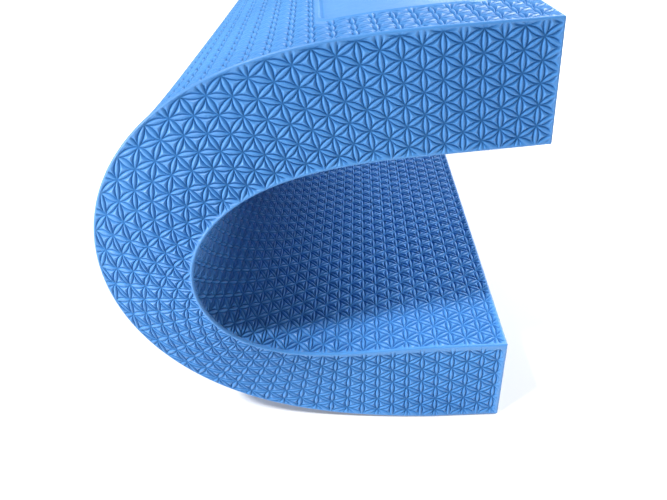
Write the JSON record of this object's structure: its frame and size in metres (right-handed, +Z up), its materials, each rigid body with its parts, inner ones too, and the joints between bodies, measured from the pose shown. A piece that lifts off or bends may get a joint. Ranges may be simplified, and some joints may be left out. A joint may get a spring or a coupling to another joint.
{
  "type": "foam balance mat",
  "caption": "Thick rectangular foam mat folded over into a C, embossed all over with overlapping circles; it opens out flat.",
  "frame": {"origin": "centre of the bounding box of the folded mat, on the floor", "axes": "+X along the leaves towards their free ends, Y across the width with the side seen from the front at -Y, +Z up"},
  "size_m": [0.242, 0.4202, 0.2661],
  "materials": {
    "blue_foam": "matte soft closed-cell foam, embossed"
  },
  "bodies": {
    "lower_leaf": {"lower_leaf": "blue_foam"},
    "bend_segment_1": {"bend_segment_1": "blue_foam"},
    "bend_segment_2": {"bend_segment_2": "blue_foam"},
    "bend_segment_3": {"bend_segment_3": "blue_foam"},
    "bend_segment_4": {"bend_segment_4": "blue_foam"},
    "bend_segment_5": {"bend_segment_5": "blue_foam"},
    "bend_segment_6": {"bend_segment_6": "blue_foam"},
    "bend_segment_7": {"bend_segment_7": "blue_foam"},
    "bend_segment_8": {"bend_segment_8": "blue_foam"},
    "bend_segment_9": {"bend_segment_9": "blue_foam"},
    "bend_segment_10": {"bend_segment_10": "blue_foam"},
    "upper_leaf": {"upper_leaf": "blue_foam"}
  },
  "joints": [
    {"name": "fold_1", "type": "hinge", "parent": "lower_leaf", "child": "bend_segment_1", "pos_m": [-0.01624, -0.00399, 0.03], "axis": [-0.0137, -0.9999, 0], "range_deg": [-1.94, 24.26]},
    {"name": "fold_2", "type": "hinge", "parent": "bend_segment_1", "child": "bend_segment_2", "pos_m": [-0.0445, -0.00403, 0.04274], "axis": [-0.0037, -1, -0.0045], "range_deg": [-0.94, 11.52]},
    {"name": "fold_3", "type": "hinge", "parent": "bend_segment_2", "child": "bend_segment_3", "pos_m": [-0.06397, -0.00409, 0.05676], "axis": [0.0031, -1, -0.0094], "range_deg": [-1.46, 18.05]},
    {"name": "fold_4", "type": "hinge", "parent": "bend_segment_3", "child": "bend_segment_4", "pos_m": [-0.08052, -0.00419, 0.07935], "axis": [0.0089, -0.9998, -0.0174], "range_deg": [-1.55, 19.1]},
    {"name": "fold_5", "type": "hinge", "parent": "bend_segment_4", "child": "bend_segment_5", "pos_m": [-0.08877, -0.0043, 0.10611], "axis": [0.0118, -0.9996, -0.0268], "range_deg": [-1.54, 19.05]},
    {"name": "fold_6", "type": "hinge", "parent": "bend_segment_5", "child": "bend_segment_6", "pos_m": [-0.08785, -0.00432, 0.13409], "axis": [0.0115, -0.9993, -0.0366], "range_deg": [-1.49, 18.4]},
    {"name": "fold_7", "type": "hinge", "parent": "bend_segment_6", "child": "bend_segment_7", "pos_m": [-0.07816, -0.00419, 0.16036], "axis": [0.0081, -0.9989, -0.0459], "range_deg": [-1.4, 17.2]},
    {"name": "fold_8", "type": "hinge", "parent": "bend_segment_7", "child": "bend_segment_8", "pos_m": [-0.06115, -0.00381, 0.1826], "axis": [0.0021, -0.9986, -0.0537], "range_deg": [-1.26, 15.47]},
    {"name": "fold_9", "type": "hinge", "parent": "bend_segment_8", "child": "bend_segment_9", "pos_m": [-0.03805, -0.00311, 0.20012], "axis": [-0.0061, -0.9982, -0.0598], "range_deg": [-1.21, 14.87]},
    {"name": "fold_10", "type": "hinge", "parent": "bend_segment_9", "child": "bend_segment_10", "pos_m": [-0.00756, -0.00189, 0.21267], "axis": [-0.0136, -0.9979, -0.0629], "range_deg": [-0.95, 11.64]},
    {"name": "fold_11", "type": "hinge", "parent": "bend_segment_10", "child": "upper_leaf", "pos_m": [0.02973, -0.00006, 0.21977], "axis": [-0.0136, -0.9979, -0.0629], "range_deg": [-0.61, 7.35]}
  ],
  "couplings": [
    {"joint": "fold_2", "follows": "fold_1", "ratio": 0.47405},
    {"joint": "fold_3", "follows": "fold_1", "ratio": 0.74302},
    {"joint": "fold_4", "follows": "fold_1", "ratio": 0.7863},
    {"joint": "fold_5", "follows": "fold_1", "ratio": 0.78437},
    {"joint": "fold_6", "follows": "fold_1", "ratio": 0.75749},
    {"joint": "fold_7", "follows": "fold_1", "ratio": 0.70835},
    {"joint": "fold_8", "follows": "fold_1", "ratio": 0.63694},
    {"joint": "fold_9", "follows": "fold_1", "ratio": 0.61194},
    {"joint": "fold_10", "follows": "fold_1", "ratio": 0.47895},
    {"joint": "fold_11", "follows": "fold_1", "ratio": 0.30207}
  ]
}
